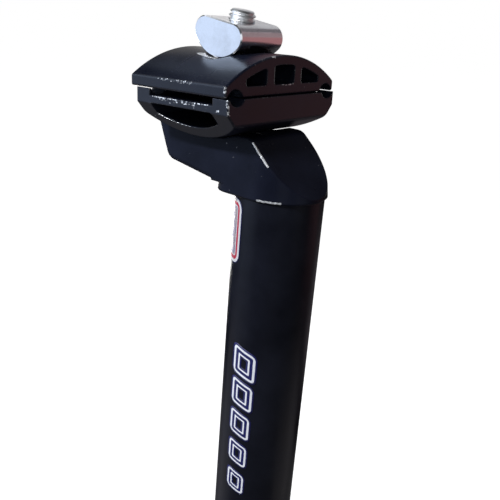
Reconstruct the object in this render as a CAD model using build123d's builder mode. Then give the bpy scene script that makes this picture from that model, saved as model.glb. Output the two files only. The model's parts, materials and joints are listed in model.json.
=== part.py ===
"""Bicycle seatpost with a set-back head and a one-bolt saddle clamp.

Frame: +Z runs up the tube, -Y is the bicycle's front, +Y its rear, and the origin is the centre of the
tube's lower end. Millimetres and degrees.

The saddle clamp rocks about a tilt axis along X above the head. The head's seat, the lower clamp's
underside and the barrel nut's underside are arcs about that one axis, so the clamp can tilt while the
bolt stays where it is.
"""
import os
from math import cos, radians, sin, sqrt, tan

from build123d import *

# Post tube
tube_diameter = 27.2
tube_wall = 2.2
tube_end_break = 0.6
post_length = 350.0             # lower end of the tube to the top of the lower clamp

# Tilt axis and bolt line
setback = 19.6                  # tilt axis behind the tube's axis
axis_height = 19.6              # tilt axis above the lower clamp's top face
rest_pitch = 1.9                # the clamp's front stands this much high at rest
bolt_lean = 8.0                 # the bolt leans forward at its top
tilt_swing = 14.5               # the clamp tilts this far each way from square to the bolt

# Head
head_drop = 28.0                # joint line below the lower clamp's top face
collar_step = 0.8               # collar stands proud of the tube
collar_height = 2.6             # joint line to the underside's front end
collar_back = 2.4               # collar behind the tube's rear
collar_corner = 6.0             # rear corners of the collar, in plan
ledge_run = 0.8                 # level ledge between the collar and the sloping underside
side_draft = 6.5                # the head narrows upwards
seat_depth = 2.3                # seat arc below the flats on each side of it
front_reach = 17.0              # front end of the top flat, ahead of the tilt axis
front_slope = 43.5              # front face, from level
front_round = 4.0
rear_reach = 22.0               # rear end of the top flat, behind the tilt axis
rear_lean = 28.5                # rear face, from upright
rear_round = 4.0                # lower rear corner, seen from the side
rear_corner = 1.8               # rear corners, in plan
head_edge = 0.5                 # broken edges of the front face
rim_edge = 0.4                  # broken edge of the collar's lower rim
spigot_length = 40.0
spigot_wall = 3.5
bond_gap = 0.05                 # spigot in tube

# Lower clamp
cradle_length = 35.9
cradle_width = 49.6
cradle_depth = 12.8             # top face to the lowest point of the underside
cradle_side = 4.1               # upright part of each end, above the bevel
cradle_bevel = 42.0             # bevel of each end, from upright
cradle_corner = 2.0             # where the front and rear walls turn into the underside
cradle_break = 0.35             # broken edges of both ends
cradle_wall = 3.1               # curved lower wall
cradle_web = 2.0                # web between the top channel and the window
channel_length = 24.6
channel_depth = 1.95
window_length = 24.0
window_corner = 0.8

# Upper clamp
jaw_gap = 0.2                   # open between the two clamps at rest
jaw_front_inset = 0.85          # upper clamp's front behind the lower clamp's front
jaw_rear_overhang = 1.95        # upper clamp's rear past the lower clamp's rear
jaw_side_overhang = 0.35        # upper clamp past the lower clamp at each side
jaw_lip = 3.1                   # upright edge at each end of the arch
jaw_rise = 10.95                # arch's crest above its underside
jaw_floor = 2.9
jaw_wall = 2.6                  # arch over the windows
jaw_edge = 0.9                  # rounding along the top of each lip
jaw_foot = 0.7                  # rounding along the foot of each lip
jaw_break = 0.35                # broken edges of the front and rear faces
mid_window_width = 9.4
side_window_width = 8.9
jaw_web = 3.3                   # between the windows
jaw_window_corner = 0.9

# Rail grooves
rail_diameter = 7.0
rail_spacing = 42.4
lower_bite = 1.9                # depth of a groove in the lower clamp
upper_bite = 2.4                # depth of a groove in the upper clamp

# Barrel nut
nut_length = 19.1
nut_depth = 10.5                # flat top, level with the tilt axis, to the lowest point
nut_side = 3.9                  # rounding of its front and rear
nut_edge = 0.35

# Bolt and washer
bolt_diameter = 8.0
bolt_tip = 2.9                  # stands out above the nut
bolt_tip_break = 0.9
bolt_head_diameter = 13.0
bolt_head_height = 8.0
bolt_head_edge = 0.6
hex_key = 6.0
hex_depth = 4.2
washer_diameter = 14.6
washer_thickness = 1.6
counterbore_depth = 6.5

# Clearances
seat_gap = 0.3                  # between arcs that slide on each other
bolt_gap = 0.3                  # bolt in the head, the washer and the clamps' slots
thread_gap = 0.05               # bolt in nut
washer_gap = 0.4                # washer in its counterbore

# Worked-out sizes
tube_radius = tube_diameter / 2
tube_bore = tube_radius - tube_wall
collar_radius = tube_radius + collar_step
bolt_radius = bolt_diameter / 2
bolt_hole = bolt_radius + bolt_gap
rail_radius = rail_diameter / 2
rim_z = post_length - head_drop
axis_z = post_length + axis_height
cradle_radius = axis_height + cradle_depth
seat_radius = cradle_radius + seat_gap

# Clamp planes start at the tilt axis and lie at the clamp's rest pitch
pitch = radians(rest_pitch)
tilt_axis = (0, setback, axis_z)
clamp_side = Plane(tilt_axis, x_dir=(0, cos(pitch), -sin(pitch)), z_dir=(1, 0, 0))
clamp_front = Plane(tilt_axis, x_dir=(1, 0, 0), z_dir=(0, -cos(pitch), sin(pitch)))
clamp_top = Plane(tilt_axis, x_dir=(1, 0, 0), z_dir=(0, sin(pitch), cos(pitch)))

# The bolt's line runs through the tilt axis, and places along it are read from there
lean = radians(bolt_lean)
bolt_line = Axis(tilt_axis, (0, -sin(lean), cos(lean)))
bolt_plane = Plane(tilt_axis, x_dir=(1, 0, 0), z_dir=bolt_line.direction)
nut_plane = Plane(tilt_axis, x_dir=(0, cos(lean), sin(lean)), z_dir=(1, 0, 0))

# Corners of the head's side view, as (y, z)
flat_z = axis_z - seat_radius + seat_depth
ledge_z = rim_z + collar_height
collar_rear = tube_radius + collar_back
block_radius = collar_radius - collar_height * tan(radians(side_draft))
ledge_rear = collar_rear + ledge_run
front_top = (setback - front_reach, flat_z)
front_foot = (front_top[0] - (flat_z - rim_z) / tan(radians(front_slope)), rim_z)
front_middle = (0, (front_foot[0] + front_top[0]) / 2, (rim_z + flat_z) / 2)
rear_top = (setback + rear_reach, flat_z)
rear_rate = tan(radians(rear_lean))
underside_run = (rear_top[0] - ledge_rear - rear_rate * (flat_z - ledge_z)) / (1 - rear_rate * tan(lean))
rear_foot = (ledge_rear + underside_run, ledge_z + underside_run * tan(lean))

# The underside is square to the bolt, which sits in a counterbore there
underside_reach = (ledge_rear - setback) * sin(lean) + (axis_z - ledge_z) * cos(lean)
washer_seat = underside_reach - counterbore_depth
bolt_seat = washer_seat + washer_thickness
underside = Plane(bolt_plane.offset(-underside_reach).origin, x_dir=(1, 0, 0), z_dir=-bolt_line.direction)

# The clamps, as places in the clamp planes
window_top = -(axis_height + channel_depth + cradle_web)
window_middle = (window_top - cradle_radius + cradle_wall) / 2
jaw_length = cradle_length - jaw_front_inset + jaw_rear_overhang
jaw_shift = (jaw_front_inset + jaw_rear_overhang) / 2
jaw_width = cradle_width + 2 * jaw_side_overhang
jaw_base = jaw_gap - axis_height
jaw_crest = jaw_base + jaw_rise
arch_sag = jaw_rise - jaw_lip
arch_radius = ((jaw_width / 2) ** 2 + arch_sag**2) / (2 * arch_sag)
arch_middle = jaw_crest - arch_radius


def swing_length(depth):
    """Length of a slot that lets the bolt swing, at a depth below the tilt axis."""
    swing = radians(tilt_swing)
    return 2 * (depth * tan(swing) + bolt_hole / cos(swing))


def nearest(vertices, place):
    """The vertex of a sketch that lies at a place."""
    return vertices.sort_by_distance(place)[0]


# Post tube
with BuildPart() as post_tube:
    Cylinder(tube_radius, rim_z, align=(Align.CENTER, Align.CENTER, Align.MIN))
    Hole(tube_bore)
    chamfer(post_tube.edges().group_by(Axis.Z)[0], tube_end_break)

# Head: a collar and a block that narrow upwards, round in front of the tube, cut to one side view
with BuildPart() as head:
    with BuildSketch(Plane.XY.offset(rim_z)) as collar_plan:
        Circle(collar_radius)
        Rectangle(2 * collar_radius, collar_rear, align=(Align.CENTER, Align.MIN))
        fillet(collar_plan.vertices().group_by(Axis.Y)[-1], collar_corner)
    extrude(amount=collar_height, taper=side_draft)
    with BuildSketch(Plane.XY.offset(ledge_z)):
        Circle(block_radius)
        Rectangle(2 * block_radius, 2 * (setback + rear_reach), align=(Align.CENTER, Align.MIN))
    extrude(amount=axis_z - ledge_z, taper=side_draft)
    with BuildSketch(Plane.YZ) as side_view:
        with BuildLine():
            Polyline(
                front_foot,
                (ledge_rear, rim_z),
                (ledge_rear, ledge_z),
                rear_foot,
                rear_top,
                front_top,
                close=True,
            )
        make_face()
        fillet(nearest(side_view.vertices(), rear_foot), rear_round)
        fillet(nearest(side_view.vertices(), front_top), front_round)
        with Locations((setback, axis_z)):
            Circle(seat_radius, mode=Mode.SUBTRACT)
    extrude(amount=2 * collar_radius, both=True, mode=Mode.INTERSECT)
    rear_face = head.faces().sort_by(Axis.Y)[-1]
    fillet(rear_face.edges().filter_by(Axis.X, reverse=True), rear_corner)
    front_face = head.faces().sort_by_distance(front_middle)[0]
    fillet(front_face.edges().filter_by(Axis.X, reverse=True), head_edge)
    chamfer(head.faces().sort_by(Axis.Z)[0].edges(), rim_edge)

    with BuildSketch(Plane.XY.offset(rim_z)):
        Circle(tube_bore - bond_gap)
        Circle(tube_bore - bond_gap - spigot_wall, mode=Mode.SUBTRACT)
    extrude(amount=-spigot_length)
    with Locations(underside):
        CounterBoreHole(bolt_hole, washer_diameter / 2 + washer_gap, counterbore_depth)

# Lower clamp: a hollow bar along X with an arched underside, and ends bevelled inwards
with BuildPart() as lower_clamp:
    with BuildSketch(clamp_side) as bar:
        Circle(cradle_radius)
        with Locations((0, -axis_height)):
            Rectangle(
                cradle_length, cradle_depth, align=(Align.CENTER, Align.MAX), mode=Mode.INTERSECT
            )
        fillet(bar.vertices().group_by(Axis.Y)[0], cradle_corner)
        with Locations((0, -axis_height)):
            Rectangle(
                channel_length, channel_depth, align=(Align.CENTER, Align.MAX), mode=Mode.SUBTRACT
            )
    extrude(amount=cradle_width / 2, both=True)
    with BuildSketch(clamp_side) as window:
        Circle(cradle_radius - cradle_wall)
        with Locations((0, window_top)):
            Rectangle(
                window_length, cradle_depth, align=(Align.CENTER, Align.MAX), mode=Mode.INTERSECT
            )
        fillet(window.vertices(), window_corner)
    extrude(amount=cradle_width, both=True, mode=Mode.SUBTRACT)

    bevel_run = (cradle_depth - cradle_side) * tan(radians(cradle_bevel))
    with BuildSketch(clamp_front):
        with BuildLine() as half_view:
            Polyline(
                (0, -axis_height),
                (cradle_width / 2, -axis_height),
                (cradle_width / 2, -axis_height - cradle_side),
                (cradle_width / 2 - bevel_run, -cradle_radius),
                (0, -cradle_radius),
            )
            mirror(about=Plane.YZ)
        make_face()
    extrude(amount=cradle_length, both=True, mode=Mode.INTERSECT)
    walls = lower_clamp.faces().sort_by(Axis.Y)
    wall_edges = walls[0].edges() + walls[-1].edges()
    chamfer(wall_edges.filter_by(Axis.X, reverse=True), cradle_break)

    with BuildSketch(clamp_front):
        with Locations((0, rail_radius - lower_bite - axis_height)):
            with GridLocations(rail_spacing, 0, 2, 1):
                Circle(rail_radius)
    extrude(amount=cradle_length, both=True, mode=Mode.SUBTRACT)
    with BuildSketch(clamp_top.offset(-axis_height)):
        SlotOverall(swing_length(-window_top), 2 * bolt_hole, rotation=90)
    extrude(amount=window_middle + axis_height, mode=Mode.SUBTRACT)
    with BuildSketch(clamp_top.offset(window_middle)):
        SlotOverall(swing_length(cradle_radius), 2 * bolt_hole, rotation=90)
    extrude(amount=-cradle_depth, mode=Mode.SUBTRACT)

# Upper clamp: an arch along Y with three windows, and a seat across its crest for the nut
with BuildPart() as upper_clamp:
    with BuildSketch(clamp_front.offset(-jaw_shift)) as arch:
        with Locations((0, arch_middle)):
            Circle(arch_radius)
        with Locations((0, jaw_base)):
            Rectangle(jaw_width, jaw_rise, align=(Align.CENTER, Align.MIN), mode=Mode.INTERSECT)
        for side in (-1, 1):
            fillet(nearest(arch.vertices(), (side * jaw_width / 2, jaw_base + jaw_lip)), jaw_edge)
            fillet(nearest(arch.vertices(), (side * jaw_width / 2, jaw_base)), jaw_foot)
    extrude(amount=jaw_length / 2, both=True)
    jaw_ends = upper_clamp.faces().sort_by(Axis.Y)
    chamfer(jaw_ends[0].edges() + jaw_ends[-1].edges(), jaw_break)

    side_window_x = (mid_window_width + side_window_width) / 2 + jaw_web
    window_end = side_window_x + side_window_width / 2
    window_base = jaw_base + jaw_floor
    end_height = arch_middle + sqrt((arch_radius - jaw_wall) ** 2 - window_end**2) - window_base
    with BuildSketch(clamp_front.offset(-jaw_shift)) as jaw_windows:
        with Locations((0, window_base)):
            Rectangle(mid_window_width, jaw_rise, align=(Align.CENTER, Align.MIN))
        with Locations((-side_window_x, window_base), (side_window_x, window_base)):
            Rectangle(side_window_width, jaw_rise, align=(Align.CENTER, Align.MIN))
        with Locations((0, arch_middle)):
            Circle(arch_radius - jaw_wall, mode=Mode.INTERSECT)
        fillet(jaw_windows.vertices(), min(jaw_window_corner, end_height / 2))
    extrude(amount=jaw_length, both=True, mode=Mode.SUBTRACT)

    with BuildSketch(clamp_side):
        Circle(nut_depth + seat_gap)
    extrude(amount=jaw_width, both=True, mode=Mode.SUBTRACT)
    with BuildSketch(clamp_front):
        with Locations((0, jaw_base + upper_bite - rail_radius)):
            with GridLocations(rail_spacing, 0, 2, 1):
                Circle(rail_radius)
    extrude(amount=jaw_length, both=True, mode=Mode.SUBTRACT)
    with BuildSketch(clamp_top):
        Rectangle(mid_window_width, swing_length(jaw_wall - jaw_crest))
    extrude(amount=window_base, mode=Mode.SUBTRACT)
    with BuildSketch(clamp_top):
        SlotOverall(swing_length(-jaw_base), 2 * bolt_hole, rotation=90)
    extrude(amount=jaw_base, mode=Mode.SUBTRACT)

# Barrel nut: a half-round bar along X with rounded sides, tapped for the bolt
with BuildPart() as barrel_nut:
    with BuildSketch(nut_plane) as nut_section:
        Circle(nut_depth)
        Rectangle(2 * nut_depth, nut_depth, align=(Align.CENTER, Align.MAX), mode=Mode.INTERSECT)
        fillet(nut_section.vertices().group_by(Axis.Y)[-1], nut_side)
    extrude(amount=nut_length / 2, both=True)
    end_faces = barrel_nut.faces().filter_by(Axis.X)
    chamfer(end_faces.edges(), nut_edge)
    with Locations(bolt_plane):
        Hole(bolt_radius + thread_gap)

# Bolt washer
with BuildPart() as bolt_washer:
    with BuildSketch(bolt_plane.offset(-washer_seat)):
        Circle(washer_diameter / 2)
        Circle(bolt_hole, mode=Mode.SUBTRACT)
    extrude(amount=-washer_thickness)

# Clamp bolt, from its socket head up to its tip
with BuildPart() as clamp_bolt:
    with BuildSketch(bolt_plane.offset(-bolt_seat)):
        Circle(bolt_head_diameter / 2)
    extrude(amount=-bolt_head_height)
    chamfer(clamp_bolt.edges().group_by(bolt_line)[0], bolt_head_edge)
    with BuildSketch(bolt_plane.offset(-bolt_seat)):
        Circle(bolt_radius)
    extrude(amount=bolt_seat + bolt_tip)
    chamfer(clamp_bolt.edges().group_by(bolt_line)[-1], bolt_tip_break)
    with BuildSketch(bolt_plane.offset(-bolt_seat - bolt_head_height)):
        RegularPolygon(hex_key / 2, 6, major_radius=False)
    extrude(amount=hex_depth, mode=Mode.SUBTRACT)

os.makedirs("parts", exist_ok=True)
for name, piece in {
    "post_tube": post_tube,
    "head": head,
    "lower_clamp": lower_clamp,
    "upper_clamp": upper_clamp,
    "barrel_nut": barrel_nut,
    "bolt_washer": bolt_washer,
    "clamp_bolt": clamp_bolt,
}.items():
    piece.part.label = name
    export_step(piece.part, f"parts/{name}.step")
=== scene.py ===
"""Looks of a bicycle seatpost with a set-back head and a one-bolt saddle clamp.

Metres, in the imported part's own frame: +Z runs up the tube, -Y is the bicycle's front, and the origin
is the centre of the tube's lower end.
"""
import json
from math import cos, pi, radians, sin

import bmesh
import bpy
from mathutils import Matrix, Vector


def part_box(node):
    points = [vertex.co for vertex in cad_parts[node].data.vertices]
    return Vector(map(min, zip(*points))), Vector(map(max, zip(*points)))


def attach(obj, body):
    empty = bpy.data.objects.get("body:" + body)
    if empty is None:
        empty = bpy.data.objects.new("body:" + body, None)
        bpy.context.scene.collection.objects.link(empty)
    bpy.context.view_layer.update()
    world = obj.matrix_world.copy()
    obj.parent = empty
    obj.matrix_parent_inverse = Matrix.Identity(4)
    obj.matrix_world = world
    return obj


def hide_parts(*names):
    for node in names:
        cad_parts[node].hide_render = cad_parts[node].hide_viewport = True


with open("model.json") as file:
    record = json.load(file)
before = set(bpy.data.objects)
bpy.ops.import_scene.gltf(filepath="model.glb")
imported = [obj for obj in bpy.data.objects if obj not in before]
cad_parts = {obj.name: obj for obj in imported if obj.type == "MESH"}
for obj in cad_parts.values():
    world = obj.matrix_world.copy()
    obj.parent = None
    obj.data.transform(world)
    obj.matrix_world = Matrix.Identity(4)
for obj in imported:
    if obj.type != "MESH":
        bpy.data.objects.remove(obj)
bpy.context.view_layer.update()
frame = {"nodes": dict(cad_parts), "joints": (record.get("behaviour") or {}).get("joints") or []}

MM = 0.001
ACROSS = Vector((1, 0, 0))
IMAGE = 500                        # picture's width and height, in pixels

# Places from the frame, and the height of the lower clamp's top face, which it doesn't give
joints = {joint["name"]: joint for joint in frame["joints"]}
tilt_axis = Vector(joints["clamp_tilt"]["pos_m"])
clamp_up = Vector(joints["jaw_lift"]["axis"]).normalized()
clamp_front = clamp_up.cross(-ACROSS)
bolt_up = -Vector(joints["bolt_turn"]["axis"]).normalized()
bolt_side = bolt_up.cross(ACROSS)
tube_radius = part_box("post_tube")[1][0]
rim_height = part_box("post_tube")[1][2]
clamp_height = 350 * MM
axis_height = tilt_axis.z - clamp_height

# Bolt, with places along its line counted from the tilt axis
bolt_radius = 4 * MM
bolt_tip = 2.9 * MM
bolt_tip_break = 0.9 * MM
bolt_seat = -39.27 * MM            # bearing face of its head
bolt_head_radius = 6.5 * MM
bolt_head_height = 8 * MM
bolt_head_edge = 0.6 * MM          # rounding of the head's lower edge
bolt_edge_steps = 4
bolt_steps = 96                    # round the bolt
hex_key = 6 * MM
hex_depth = 4.2 * MM
hex_lead = 0.25 * MM
thread_pitch = 1.25 * MM
thread_depth = 0.68 * MM
thread_length = 30 * MM
thread_run_out = 2 * thread_pitch
thread_crest = 0.12                # flat crest, as a share of the pitch
thread_flanks = 0.72               # both flanks, as a share of the pitch
thread_slices = 12                 # along each pitch
knurl_depth = 0.12 * MM
knurl_count = 48
knurl_start = 2 * knurl_depth      # below the head's bearing face
knurl_end = 2 * bolt_head_edge     # above the head's lower face

# Sticker round the tube's rear, just under the rim
sticker_middle = radians(90)       # round the tube, from +X towards +Y
sticker_width = 36 * MM
sticker_height = 20.5 * MM
sticker_top_gap = 1.1 * MM
sticker_corner = 3.4 * MM
sticker_edge = 0.3 * MM            # navy
sticker_border = 0.95 * MM         # pale
sticker_line = 1.05 * MM           # red
sticker_inner_line = 0.4 * MM      # pale
sticker_lift = 0.09 * MM           # outer face off the tube
sticker_steps = 30                 # along each level side

# Stripes printed on the tube's left: slanted frames, each a white frame inside a white frame on navy
stripes_middle = radians(187.5)    # round the tube, from +X towards +Y
stripes_top = 273.5 * MM
stripe_count = 5
stripe_pitch = 11.2 * MM
stripe_half_height = 4.7 * MM
stripe_half_width = 4.0 * MM
stripe_shrink = 0.055              # each one is smaller than the one above it
stripe_slant = -0.35               # rise for each step round the tube
stripe_outer = 0.8 * MM            # outer white frame
stripe_band = 1.05 * MM            # navy between the two white frames
stripe_inner = 0.6 * MM            # inner white frame
stripe_halo = 0.65 * MM            # navy outside and inside them
stripe_corner = 1.3 * MM
stripe_least_corner = 0.3 * MM
stripe_lift = 0.10 * MM            # white frames off the tube
halo_lift = 0.07 * MM              # outer and inner edges of the navy off the tube
stripe_across_steps = 8
stripe_up_steps = 6

# What the sticker and the stripes share
skin_under = 0.02 * MM             # inner face off the tube
corner_steps = 5
least_length = 0.01 * MM           # for a corner's radius, and for a side between corners

# Paint, its wear, and painted highlights drawn as bare alloy
peel_height = 0.4                  # orange peel, as a share of the paint's thickness
line_core = 0.3                    # share of a worn or highlight line's radius that is bare in full
line_lift = 0.3                    # how far a strength of 1 lifts the flakes towards bare alloy
bare_metallic = 0.5
bare_roughness = 0.32
bare_dull = (0.45, 0.46, 0.48, 1.0)
bare_bright = (0.95, 0.96, 0.98, 1.0)
dust_grey = (0.03, 0.03, 0.034, 1.0)
scuff_grey = (0.35, 0.34, 0.34, 1.0)


# Shader node helpers
def add(tree, kind, settings=None, **inputs):
    """A node with its settings.

    Inputs are values or links, by name with _ for a space, or by number as i0, i1.
    """
    made = tree.nodes.new(kind)
    for key, value in (settings or {}).items():
        setattr(made, key, value)
    for key, value in inputs.items():
        numbered = key[0] == "i" and key[1:].isdigit()
        socket = made.inputs[int(key[1:]) if numbered else key.replace("_", " ")]
        if isinstance(value, bpy.types.NodeSocket):
            tree.links.new(value, socket)
        else:
            socket.default_value = value
    return made


def work_out(tree, operation, a, b):
    """Output of a Math node."""
    return add(tree, "ShaderNodeMath", {"operation": operation}, i0=a, i1=b).outputs[0]


def vector_math(tree, operation, a, b):
    """Outputs of a Vector Math node, which are Vector and Value."""
    return add(tree, "ShaderNodeVectorMath", {"operation": operation}, i0=a, i1=b).outputs


def ramp(tree, value, low, high, out_low=0.0, out_high=1.0):
    """A value stretched from low..high to out_low..out_high, and clamped."""
    made = add(
        tree,
        "ShaderNodeMapRange",
        {"clamp": True},
        Value=value,
        From_Min=low,
        From_Max=high,
        To_Min=out_low,
        To_Max=out_high,
    )
    return made.outputs[0]


def shade(colour, share=1.0):
    """A share of a colour, with full alpha."""
    return (*(share * value for value in colour), 1.0)


def blend_colour(tree, share, first, second):
    """First colour where share is 0, second where it is 1."""
    return add(tree, "ShaderNodeMix", {"data_type": "RGBA"}, i0=share, i6=first, i7=second).outputs[2]


def surface_place(tree):
    """Place on the surface, in the object's own coordinates."""
    return add(tree, "ShaderNodeTexCoord").outputs["Object"]


def drawn(tree, place, scale):
    """A place with its axes scaled, so that noise over it is drawn out along some of them."""
    return add(tree, "ShaderNodeMapping", Vector=place, Scale=scale).outputs[0]


def noise(tree, place, scale, detail=4.0, roughness=0.55):
    """Noise value over a place. Scale is in spots to the metre."""
    made = add(
        tree,
        "ShaderNodeTexNoise",
        Vector=place,
        Scale=scale,
        Detail=detail,
        Roughness=roughness,
    )
    return made.outputs[0]


def new_material(name):
    """A node material, its node tree and its Principled shader."""
    material = bpy.data.materials.new(name)
    material.use_nodes = True
    return material, material.node_tree, material.node_tree.nodes["Principled BSDF"]


def link(tree, shader, **inputs):
    """Links values to a shader's inputs, by name with _ for a space."""
    for key, value in inputs.items():
        tree.links.new(value, shader.inputs[key.replace("_", " ")])


def near_lines(tree, place, lines):
    """How much any of the lines bares the paint, as wear or as a painted highlight: a line's strength in
    its middle, and 0 at its radius.
    """
    total = None
    for start, end, radius, strength in lines:
        run = end - start
        reach = vector_math(tree, "SUBTRACT", place, start)["Vector"]
        along = vector_math(tree, "DOT_PRODUCT", reach, run)["Value"]
        share = ramp(tree, along, 0.0, run.length_squared)
        foot = add(tree, "ShaderNodeVectorMath", {"operation": "SCALE"}, i0=run, Scale=share)
        away = vector_math(tree, "DISTANCE", reach, foot.outputs["Vector"])["Value"]
        near = ramp(tree, away, line_core * radius, radius, strength, 0.0)
        total = near if total is None else work_out(tree, "MAXIMUM", total, near)
    return total


# Finishes
def black_paint(name, tint, wear_and_highlight_lines, roughness, shine, edge_round, edge_wear):
    """Satin black paint with orange peel and rubbed patches, worn to bare alloy on edges and lines, where
    some lines are painted highlights.
    """
    material, tree, shader = new_material(name)
    place = surface_place(tree)
    patches = noise(tree, place, scale=60.0, detail=3.0)
    peel = noise(tree, place, scale=1600.0, detail=2.0)
    dust = noise(tree, place, scale=700.0, detail=6.0, roughness=0.7)
    flakes = noise(tree, place, scale=1300.0, detail=3.0)

    # Paint, paler in rubbed patches and under dust
    dark = shade(tint, 0.75)
    pale = shade(tint, 1.35)
    rubbed = ramp(tree, patches, 0.35, 0.7)
    dusty = ramp(tree, dust, 0.64, 0.80, 0.0, 0.35)
    paint = blend_colour(tree, dusty, blend_colour(tree, rubbed, dark, pale), dust_grey)

    # Bare alloy, in chips along the edges and the worn lines, and in the highlight lines as painted
    # highlights
    flat = add(tree, "ShaderNodeNewGeometry").outputs["Normal"]
    rounded = add(tree, "ShaderNodeBevel", {"samples": 6}, Radius=edge_round).outputs["Normal"]
    agree = vector_math(tree, "DOT_PRODUCT", flat, rounded)["Value"]
    edge = ramp(tree, agree, 0.985, 0.90)
    loose = ramp(tree, flakes, 0.60, 0.70, 0.0, edge_wear)
    wear_and_highlight = work_out(tree, "MULTIPLY", edge, loose)
    if wear_and_highlight_lines:
        lines = near_lines(tree, place, wear_and_highlight_lines)
        line_flakes = work_out(tree, "ADD", work_out(tree, "MULTIPLY", lines, line_lift), flakes)
        wear_and_highlight = work_out(tree, "MAXIMUM", wear_and_highlight, ramp(tree, line_flakes, 0.74, 0.86))
    polished = ramp(tree, flakes, 0.35, 0.62)
    metal = blend_colour(tree, polished, bare_dull, bare_bright)

    # Satin gloss, uneven over the patches, and peel that is sunk where the paint is gone
    satin = ramp(tree, patches, 0.3, 0.75, roughness - 0.05, roughness + 0.06)
    bare = work_out(tree, "MULTIPLY", wear_and_highlight, bare_roughness)
    height = work_out(tree, "SUBTRACT", work_out(tree, "MULTIPLY", peel, peel_height), wear_and_highlight)
    bump = add(
        tree,
        "ShaderNodeBump",
        Strength=0.18,
        Distance=0.04 * MM,
        Height=height,
        Normal=rounded,
    )
    link(
        tree,
        shader,
        Base_Color=blend_colour(tree, wear_and_highlight, paint, metal),
        Metallic=work_out(tree, "MULTIPLY", wear_and_highlight, bare_metallic),
        Roughness=work_out(tree, "MAXIMUM", satin, bare),
        Normal=bump.outputs[0],
    )
    shader.inputs["Specular IOR Level"].default_value = shine
    return material


def plated_steel(name, colour, roughness):
    """Bright zinc plating: grain drawn along X, faint stains and a few scuffs."""
    material, tree, shader = new_material(name)
    place = surface_place(tree)
    grain = noise(tree, drawn(tree, place, (0.06, 1.0, 1.0)), scale=2400.0, detail=5.0, roughness=0.6)
    stain = noise(tree, place, scale=160.0)
    scuff = noise(tree, place, scale=480.0, detail=6.0, roughness=0.75)
    stained = ramp(tree, stain, 0.45, 0.75, 0.0, 0.6)
    scuffed = ramp(tree, scuff, 0.64, 0.76, 0.0, 0.3)
    dull = shade(colour, 0.75)
    tone = blend_colour(tree, stained, shade(colour), dull)
    streaks = work_out(tree, "ADD", stain, work_out(tree, "MULTIPLY", grain, 0.5))
    bump = add(tree, "ShaderNodeBump", Strength=0.03, Distance=0.03 * MM, Height=grain)
    link(
        tree,
        shader,
        Base_Color=blend_colour(tree, scuffed, tone, scuff_grey),
        Roughness=ramp(tree, streaks, 0.4, 1.1, roughness - 0.05, roughness + 0.12),
        Normal=bump.outputs[0],
    )
    shader.inputs["Metallic"].default_value = 1.0
    return material


def ink(name, colour):
    """Printed ink: its colour, a little faded in patches."""
    material, tree, shader = new_material(name)
    patches = noise(tree, surface_place(tree), scale=420.0, detail=5.0, roughness=0.65)
    faded = ramp(tree, patches, 0.52, 0.8, 0.0, 0.4)
    worn = shade(colour, 0.6)
    link(
        tree,
        shader,
        Base_Color=blend_colour(tree, faded, shade(colour), worn),
        Roughness=ramp(tree, patches, 0.4, 0.8, 0.35, 0.55),
    )
    return material


def foil(name, colour):
    """Silvery sticker foil with faint bluish streaks round the tube."""
    material, tree, shader = new_material(name)
    place = drawn(tree, surface_place(tree), (0.3, 0.3, 1.0))
    streaks = noise(tree, place, scale=900.0, roughness=0.6)
    streaked = ramp(tree, streaks, 0.42, 0.68)
    bluish = (0.55 * colour[0], 0.62 * colour[1], 0.95 * colour[2], 1.0)
    link(
        tree,
        shader,
        Base_Color=blend_colour(tree, streaked, shade(colour), bluish),
        Roughness=ramp(tree, streaks, 0.3, 0.7, 0.28, 0.45),
    )
    shader.inputs["Metallic"].default_value = 0.25
    return material


# Mesh helpers
def mesh_piece(name, body, materials, build):
    """A smooth mesh piece filled by build(bm), which rides on a body and takes a finish slot."""
    mesh = bpy.data.meshes.new(name)
    bm = bmesh.new()
    build(bm)
    bmesh.ops.recalc_face_normals(bm, faces=bm.faces)
    for face in bm.faces:
        face.smooth = True
    bm.to_mesh(mesh)
    bm.free()
    for material in materials:
        mesh.materials.append(material)
    piece = bpy.data.objects.new(name, mesh)
    bpy.context.scene.collection.objects.link(piece)
    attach(piece, body)
    return piece


def bridge(bm, first, second, material=0):
    """Quads between two closed rings of vertices."""
    count = len(first)
    for i in range(count):
        following = (i + 1) % count
        face = bm.faces.new((first[i], first[following], second[following], second[i]))
        face.material_index = material


def cap(bm, ring, material):
    """Quads across a closed ring of vertices, from one half of it to the other."""
    count = len(ring)
    for i in range(count // 2 - 1):
        face = bm.faces.new((ring[i], ring[i + 1], ring[count - 2 - i], ring[count - 1 - i]))
        face.material_index = material


def rounded_outline(half_width, half_height, corner, across_steps, up_steps):
    """Points round a rectangle with rounded corners, in steps that suit wrapping it on a tube."""
    largest_corner = min(half_width, half_height) - least_length
    corner = max(min(corner, largest_corner), least_length)
    inner_x = half_width - corner
    inner_y = half_height - corner
    points = []
    for quarter, (sign_x, sign_y) in enumerate(((1, 1), (-1, 1), (-1, -1), (1, -1))):
        centre = Vector((sign_x * inner_x, sign_y * inner_y))
        for i in range(corner_steps + 1):
            angle = quarter * pi / 2 + i * pi / 2 / corner_steps
            points.append(centre + corner * Vector((cos(angle), sin(angle))))
        level = quarter % 2 == 0
        steps = across_steps if level else up_steps
        side = Vector((-sign_x * 2 * inner_x, 0)) if level else Vector((0, -sign_y * 2 * inner_y))
        start = points[-1]
        points += [start + side * i / steps for i in range(1, steps)]
    return points


def wrap(bm, outline, middle, middle_height, lift, slant=0.0):
    """Ring of vertices: an outline wrapped on the tube about a middle angle and height, and lifted."""
    reach = tube_radius + lift
    made = []
    for point in outline:
        angle = middle + point.x / tube_radius
        height = middle_height + point.y + slant * point.x
        made.append(bm.verts.new((reach * cos(angle), reach * sin(angle), height)))
    return made


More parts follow.
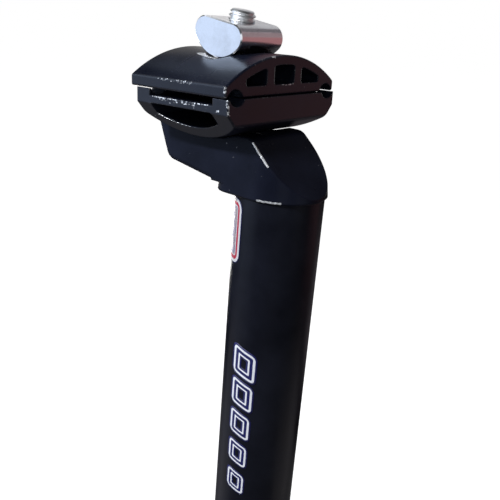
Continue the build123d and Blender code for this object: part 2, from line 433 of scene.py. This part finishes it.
# Bolt
def thread_radius(along, turn):
    """Radius of the thread at a place along the bolt and a share of a turn."""
    phase = (along / thread_pitch - turn) % 1.0
    groove = min(max((abs(2 * phase - 1) - thread_crest) / thread_flanks, 0.0), 1.0)
    run_out = min(max((along - bolt_tip + thread_length) / thread_run_out, 0.0), 1.0)
    tip_limit = bolt_radius - bolt_tip_break + (bolt_tip - along)
    return min(bolt_radius - thread_depth * groove * run_out, tip_limit)


def hex_radius(turn):
    """Radius of the hex socket at a share of a turn."""
    return hex_key / 2 / cos((turn * 6 % 1.0 - 0.5) * pi / 3)


def knurl_radius(turn):
    """Radius of the head's knurled side at a share of a turn."""
    return bolt_head_radius - knurl_depth * (0.5 - 0.5 * cos(2 * pi * knurl_count * turn))


def bolt_ring(bm, along, radius):
    """Ring round the bolt, whose radius is a number or a function of a share of a turn."""
    made = []
    for i in range(bolt_steps):
        turn = i / bolt_steps
        out = ACROSS * cos(2 * pi * turn) + bolt_side * sin(2 * pi * turn)
        reach = radius(turn) if callable(radius) else radius
        made.append(bm.verts.new(tilt_axis + bolt_up * along + out * reach))
    return made


def bolt_mesh(bm):
    """Socket-head bolt: threaded shank, knurled head with a rounded edge, and a hex socket in its end."""
    slices = thread_slices * round(thread_length / thread_pitch)
    bottom = bolt_seat - bolt_head_height
    socket_floor = bottom + hex_depth
    rings = []
    for i in range(slices + 1):
        along = bolt_tip - i * thread_length / slices
        rings.append(bolt_ring(bm, along, lambda turn: thread_radius(along, turn)))
    rings.append(bolt_ring(bm, bolt_seat, bolt_radius))
    rings.append(bolt_ring(bm, bolt_seat, bolt_head_radius - knurl_start))
    rings.append(bolt_ring(bm, bolt_seat - knurl_start, knurl_radius))
    rings.append(bolt_ring(bm, bottom + knurl_end, knurl_radius))
    for i in range(bolt_edge_steps + 1):
        angle = i * pi / 2 / bolt_edge_steps
        along = bottom + bolt_head_edge * (1 - sin(angle))
        radius = bolt_head_radius - knurl_depth - bolt_head_edge * (1 - cos(angle))
        rings.append(bolt_ring(bm, along, radius))
    rings.append(bolt_ring(bm, bottom, lambda turn: hex_radius(turn) + hex_lead))
    rings.append(bolt_ring(bm, bottom + hex_lead, hex_radius))
    rings.append(bolt_ring(bm, socket_floor, hex_radius))
    for first, second in zip(rings, rings[1:]):
        bridge(bm, first, second)
    for ring, along in ((rings[0], bolt_tip), (rings[-1], socket_floor)):
        middle = bm.verts.new(tilt_axis + bolt_up * along)
        for i in range(bolt_steps):
            bm.faces.new((ring[i], ring[(i + 1) % bolt_steps], middle))


# Sticker
def sticker_ring(bm, inset, lift):
    """The sticker's outline, inset from its edge and lifted off the tube."""
    middle_height = rim_height - sticker_top_gap - sticker_height / 2
    half_width = sticker_width / 2 - inset
    half_height = sticker_height / 2 - inset
    outline = rounded_outline(half_width, half_height, sticker_corner - inset, sticker_steps, up_steps=1)
    return wrap(bm, outline, sticker_middle, middle_height, lift)


def sticker_mesh(bm):
    """Sticker wrapped round the tube: navy edge, pale border, red line, pale line and silver field."""
    navy, pale, red, silver = range(4)    # places in the sticker's list of materials
    back = sticker_ring(bm, 0, skin_under)
    outer = sticker_ring(bm, 0, sticker_lift)
    cap(bm, back, navy)
    bridge(bm, back, outer, navy)
    inset = 0
    for width, material in (
        (sticker_edge, navy),
        (sticker_border, pale),
        (sticker_line, red),
        (sticker_inner_line, pale),
    ):
        inset += width
        inner = sticker_ring(bm, inset, sticker_lift)
        bridge(bm, outer, inner, material)
        outer = inner
    cap(bm, outer, silver)


# Stripes
def stripe_ring(bm, number, inset, lift):
    """Outline of one slanted frame, inset from its outer white edge and lifted off the tube."""
    size = 1 - stripe_shrink * number
    inset *= size
    middle_height = stripes_top - stripe_half_height - stripe_pitch * number
    half_width = stripe_half_width * size - inset
    half_height = stripe_half_height * size - inset
    corner = max(stripe_corner - inset, stripe_least_corner)
    outline = rounded_outline(half_width, half_height, corner, stripe_across_steps, stripe_up_steps)
    return wrap(bm, outline, stripes_middle, middle_height, lift, stripe_slant)


def stripes_mesh(bm):
    """Column of slanted frames, each smaller than the one above it."""
    navy, white = range(2)                # places in the stripes' list of materials
    inner = stripe_outer + stripe_band
    hole = inner + stripe_inner + stripe_halo
    # Inset and lift of each ring, and the material from there to the next
    section = [
        (-stripe_halo, skin_under, navy),
        (-stripe_halo, halo_lift, navy),
        (0, stripe_lift, white),
        (stripe_outer, stripe_lift, navy),
        (inner, stripe_lift, white),
        (inner + stripe_inner, stripe_lift, navy),
        (hole, halo_lift, navy),
        (hole, skin_under, navy),
    ]
    for number in range(stripe_count):
        rings = [stripe_ring(bm, number, inset, lift) for inset, lift, _ in section]
        for i, (_, _, material) in enumerate(section):
            bridge(bm, rings[i], rings[(i + 1) % len(rings)], material)


# Worn lines in the paint, and painted highlights drawn as bare-alloy lines, each as points, a radius in
# millimetres and a strength
def on_clamp(x, rearward, above):
    """Place on the clamp in millimetres: across, behind the tilt axis, above the lower clamp's top."""
    place = x * ACROSS - rearward * clamp_front + above * clamp_up
    return tilt_axis - axis_height * clamp_up + MM * place


def on_post(x, y, z):
    """Place on the post, in millimetres."""
    return MM * Vector((x, y, z))


def wear_or_highlight_path(points, radius, strength):
    """Worn or painted-highlight lines from each point to the next."""
    return [(first, second, radius * MM, strength) for first, second in zip(points, points[1:])]


jaw_wear = [
    # Left lip's edge and its front corner
    *wear_or_highlight_path([on_clamp(-25.0, 8.0, 3.1), on_clamp(-25.0, -5.0, 3.1)], 0.8, 0.6),
    *wear_or_highlight_path([on_clamp(-25.1, -16.9, 3.2), on_clamp(-25.1, -16.9, 0.6)], 0.8, 1.0),
    # Sill of the middle window, and the arch's front edge
    *wear_or_highlight_path([on_clamp(-1.0, -17.1, 3.1), on_clamp(4.6, -17.1, 3.1)], 0.5, 0.95),
    *wear_or_highlight_path([on_clamp(-5.8, -16.8, 10.7), on_clamp(-5.0, -16.9, 10.7)], 0.9, 1.0),
    # Scuff by the nut's left end
    *wear_or_highlight_path([on_clamp(-10.2, 6.8, 10.0), on_clamp(-11.0, 4.1, 9.6), on_clamp(-9.6, 1.5, 8.9)], 1.4, 2.0),
    # Right lip's edge
    *wear_or_highlight_path([on_clamp(25.0, 14.0, 3.1), on_clamp(25.0, -9.0, 3.1)], 0.7, 0.7),
]
cradle_wear_and_painted_highlight = [
    # Web across the left end: its bare edge, and the rubbed face below that
    *wear_or_highlight_path([on_clamp(-24.8, 11.0, -2.0), on_clamp(-24.8, -10.6, -2.0)], 0.4, 1.0),
    *wear_or_highlight_path([on_clamp(-24.8, 8.5, -2.5), on_clamp(-24.8, -6.0, -2.5)], 1.3, 0.6),
    # Painted highlight along the lower edge of the left end's hollow: a bright bare-alloy line where light
    # catches that edge
    *wear_or_highlight_path([on_clamp(-22.1, 12.0, -7.1), on_clamp(-21.0, 9.0, -8.3)], 0.45, 1.4),
    *wear_or_highlight_path([on_clamp(-21.0, 9.0, -8.3), on_clamp(-20.0, 3.5, -9.5)], 0.45, 1.4),
    *wear_or_highlight_path([on_clamp(-20.0, 3.5, -9.5), on_clamp(-19.8, 0.0, -9.7)], 0.5, 0.9),
    # Left front corner, and a chip behind it
    *wear_or_highlight_path([on_clamp(-24.7, -17.8, -0.2), on_clamp(-24.7, -17.8, -4.0)], 1.0, 0.95),
    *wear_or_highlight_path([on_clamp(-24.8, -14.4, -3.2), on_clamp(-24.8, -13.8, -3.2)], 0.6, 1.0),
    # Web across the right end
    *wear_or_highlight_path([on_clamp(24.8, 11.0, -2.4), on_clamp(24.8, -10.6, -2.4)], 1.0, 0.8),
]
head_painted_highlights = [
    # Painted highlight: a bright bare-alloy line on the edge between the left side and the front, standing
    # for a glint
    *wear_or_highlight_path([on_post(-12.6, 1.7, 338.0), on_post(-12.6, -4.2, 332.5)], 0.42, 3.0),
    # Painted highlight: a bright bare-alloy line on the rim of the collar, left of the front, standing for
    # a glint
    *wear_or_highlight_path([on_post(-14.1, -2.5, 322.6), on_post(-13.0, -6.0, 322.6)], 0.42, 2.6),
    *wear_or_highlight_path([on_post(-13.0, -6.0, 322.6), on_post(-11.3, -8.7, 322.6)], 0.42, 2.6),
]

# CAD nodes keep their shapes and take their finishes
tube_tint = (0.0080, 0.0090, 0.0150)
head_tint = (0.0088, 0.0105, 0.0200)
jaw_tint = (0.0074, 0.0092, 0.0185)
cradle_tint = (0.0096, 0.0116, 0.0215)
tube_paint = black_paint(
    "tube_paint", tube_tint, [], roughness=0.32, shine=0.14, edge_round=0.3 * MM, edge_wear=0.1
)
# The head's paint carries painted highlights, as bright bare-alloy lines on its left front edge and its
# collar's rim
head_paint = black_paint(
    "head_paint", head_tint, head_painted_highlights, roughness=0.30, shine=0.055, edge_round=0.7 * MM, edge_wear=0.1
)
jaw_paint = black_paint(
    "jaw_paint", jaw_tint, jaw_wear, roughness=0.26, shine=0.32, edge_round=0.6 * MM, edge_wear=0.3
)
# The lower clamp's paint carries real wear and a painted highlight along its left hollow's lower edge
cradle_paint = black_paint(
    "cradle_paint", cradle_tint, cradle_wear_and_painted_highlight, roughness=0.32, shine=0.33, edge_round=0.5 * MM, edge_wear=0.3
)
nut_zinc = plated_steel("nut_zinc", (0.84, 0.84, 0.86), roughness=0.18)
bolt_zinc = plated_steel("bolt_zinc", (0.95, 0.96, 0.97), roughness=0.33)
for node, material in {
    "post_tube": tube_paint,
    "head": head_paint,
    "lower_clamp": cradle_paint,
    "upper_clamp": jaw_paint,
    "barrel_nut": nut_zinc,
    "bolt_washer": bolt_zinc,
}.items():
    node_materials = frame["nodes"][node].data.materials
    node_materials.clear()
    node_materials.append(material)

# Pieces of the scene's own: the bolt with its thread, the sticker and the stripes
bolt = mesh_piece("threaded_bolt", "bolt", [bolt_zinc], bolt_mesh)
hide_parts("clamp_bolt")
navy_ink = ink("navy_ink", (0.010, 0.012, 0.110))
white_ink = ink("white_ink", (0.92, 0.93, 0.97))
pale_ink = ink("pale_ink", (0.70, 0.69, 0.70))
red_ink = ink("red_ink", (0.50, 0.035, 0.075))
silver_foil = foil("silver_foil", (0.44, 0.39, 0.42))
mesh_piece("sticker", "post", [navy_ink, pale_ink, red_ink, silver_foil], sticker_mesh)
mesh_piece("stripes", "post", [navy_ink, white_ink], stripes_mesh)

# Pale floor, which only the camera sees
floor_reach = 30.0
floor_mesh = bpy.data.meshes.new("floor")
floor_corners = [(x * floor_reach, y * floor_reach, 0) for x, y in ((-1, -1), (1, -1), (1, 1), (-1, 1))]
floor_mesh.from_pydata(floor_corners, [], [(0, 1, 2, 3)])
floor = bpy.data.objects.new("floor", floor_mesh)
bpy.context.scene.collection.objects.link(floor)
floor_material, _, floor_shader = new_material("pale_floor")
floor_shader.inputs["Base Color"].default_value = (0.3, 0.3, 0.3, 1)
floor_shader.inputs["Roughness"].default_value = 0.9
floor_shader.inputs["Specular IOR Level"].default_value = 0.0
floor_shader.inputs["Emission Color"].default_value = (1, 1, 1, 1)
floor_shader.inputs["Emission Strength"].default_value = 1.0
floor_mesh.materials.append(floor_material)
floor.visible_diffuse = False
floor.visible_glossy = False
floor.visible_shadow = False

# Pale world, which only the camera sees
world = bpy.data.worlds.new("pale_world")
bpy.context.scene.world = world
world.use_nodes = True
world.node_tree.nodes["Background"].inputs["Color"].default_value = (1, 1, 1, 1)
world.node_tree.nodes["Background"].inputs["Strength"].default_value = 1.0
world.cycles_visibility.diffuse = False
world.cycles_visibility.glossy = False

# Soft panels of light
light_aim = Vector((0, 20 * MM, clamp_height))
white_light = (1.0, 1.0, 1.0)


def panel(name, place, aim, size, brightness, colour):
    """A soft light at a place, aimed at a point. Brightness is what a mirror would show of it."""
    width, height = size
    light = bpy.data.lights.new(name, "AREA")
    light.shape = "RECTANGLE"
    light.size = width
    light.size_y = height
    light.energy = brightness * pi * width * height
    light.color = colour
    lamp = bpy.data.objects.new(name, light)
    lamp.location = place
    lamp.rotation_mode = "QUATERNION"
    lamp.rotation_quaternion = (Vector(place) - Vector(aim)).to_track_quat("Z", "Y")
    lamp.visible_camera = False
    bpy.context.scene.collection.objects.link(lamp)


def panel_from(name, direction, distance, size, brightness, colour):
    """A soft light in a direction from the clamp, aimed at it."""
    place = light_aim + Vector(direction).normalized() * distance
    panel(name, place, light_aim, size, brightness, colour)


def ground_panel(name, place, size, brightness, colour):
    """A soft light that lies low and faces up, as pale ground throws light back."""
    panel(name, place, (place[0], place[1], 1.0), size, brightness, colour)


# Key light and blue sky from the left
panel_from("key", (-0.73, 0.15, 0.66), 1.0, (0.12, 0.12), 190.0, (0.95, 0.97, 1.0))
panel_from("left_sky", (-0.74, 0.66, -0.05), 0.9, (0.7, 0.7), 1.15, (0.65, 0.78, 1.0))
panel_from("left_high", (-0.56, 0.66, 0.49), 1.0, (0.55, 0.5), 2.3, (0.65, 0.79, 1.0))
panel_from("edge_light", (-0.72, -0.22, 0.66), 1.0, (0.12, 0.12), 16.0, white_light)
panel_from("left_low", (-0.94, 0.14, 0.25), 1.0, (0.3, 0.3), 1.5, (0.95, 0.98, 1.0))
# Pale surroundings behind, and on the right
panel_from("rear_wall", (0.53, 0.80, 0.25), 1.0, (0.62, 0.38), 0.26, (1.0, 0.97, 0.93))
panel_from("rear_top", (-0.12, 0.66, 0.74), 1.0, (0.3, 0.28), 1.2, (0.9, 0.95, 1.0))
panel_from("rear_high", (0.36, 0.67, 0.65), 1.0, (0.26, 0.22), 0.45, (0.75, 0.87, 1.0))
panel_from("right_sky", (0.80, 0.40, 0.43), 1.0, (0.7, 0.65), 0.55, (0.97, 0.97, 1.0))
# Warm surroundings in front on the right, which the nut and the clamp's front mirror
panel_from("warm_wall", (0.74, -0.64, -0.12), 0.9, (0.55, 0.55), 0.36, (1.0, 0.47, 0.49))
panel_from("warm_upper", (0.72, -0.58, 0.38), 1.0, (0.45, 0.45), 0.31, (1.0, 0.74, 0.78))
panel_from("right_low", (0.87, -0.22, -0.42), 1.0, (0.6, 0.4), 0.04, (1.0, 0.90, 0.95))
panel_from("right_high", (0.72, -0.20, 0.66), 1.0, (0.5, 0.4), 0.17, (1.0, 0.92, 1.0))
# Level light from all round, so that the tube and the head have form in every view
panel_from("camera_side", (-0.68, -0.68, 0.18), 1.2, (0.6, 0.78), 1.1, (0.90, 0.95, 1.0))
panel_from("front_low", (0.0, -1.0, -0.02), 1.0, (0.5, 0.4), 0.9, white_light)
panel_from("right_side", (1.0, 0.05, -0.02), 1.0, (0.5, 0.32), 0.9, white_light)
panel_from("rear_low", (0.05, 1.0, -0.06), 1.0, (1.0, 0.4), 0.9, white_light)
panel("right_key", (0.36, 0.60, 0.17), (0.0, 0.0, 0.17), (0.22, 0.32), 7.0, (1.0, 0.98, 0.95))
# Light thrown back by the ground, with each panel at its own small height
ground_panel("ground", (-0.15, -0.05, 0.002), (0.9, 0.9), 0.13, (1.0, 0.97, 1.0))
ground_panel("right_ground", (0.70, 0.20, 0.003), (0.5, 0.8), 0.14, (1.0, 0.88, 0.98))
ground_panel("front_ground", (0.20, -0.26, 0.005), (0.36, 0.22), 0.33, (1.0, 0.93, 0.97))
ground_panel("left_ground", (-0.20, 0.35, 0.004), (0.4, 0.4), 0.3, (1.0, 0.97, 1.0))

# Camera, at the photo's place
camera_turn = radians(-52.661)
camera_rise = radians(20.870)
camera_roll = radians(4.826)
camera_distance = 208.567 * MM
target_right = -3.302 * MM         # of the tube's middle line, as the camera sees it
target_up = -48.660 * MM           # of the lower clamp's top face
focal_pixels = 666.954
middle_pixel = Vector((263.903, 255.333))

back = Vector((
    sin(camera_turn) * cos(camera_rise),
    -cos(camera_turn) * cos(camera_rise),
    sin(camera_rise),
))
level = Vector((cos(camera_turn), sin(camera_turn), 0))
upright = back.cross(level)
camera_x = level * cos(camera_roll) + upright * sin(camera_roll)
camera_y = upright * cos(camera_roll) - level * sin(camera_roll)
target = level * target_right + Vector((0, 0, clamp_height + target_up))
camera_data = bpy.data.cameras.new("camera")
camera_data.sensor_width = 36.0
camera_data.lens = camera_data.sensor_width * focal_pixels / IMAGE
camera_data.shift_x = (IMAGE / 2 - middle_pixel.x) / IMAGE
camera_data.shift_y = (middle_pixel.y - IMAGE / 2) / IMAGE
camera_data.clip_start = 0.01
camera_data.clip_end = 200.0
camera = bpy.data.objects.new("camera", camera_data)
camera_turned = Matrix((camera_x, camera_y, back)).transposed().to_4x4()
camera.matrix_world = Matrix.Translation(target + back * camera_distance) @ camera_turned
bpy.context.scene.collection.objects.link(camera)
bpy.context.scene.camera = camera
bpy.context.scene.view_settings.view_transform = "Standard"
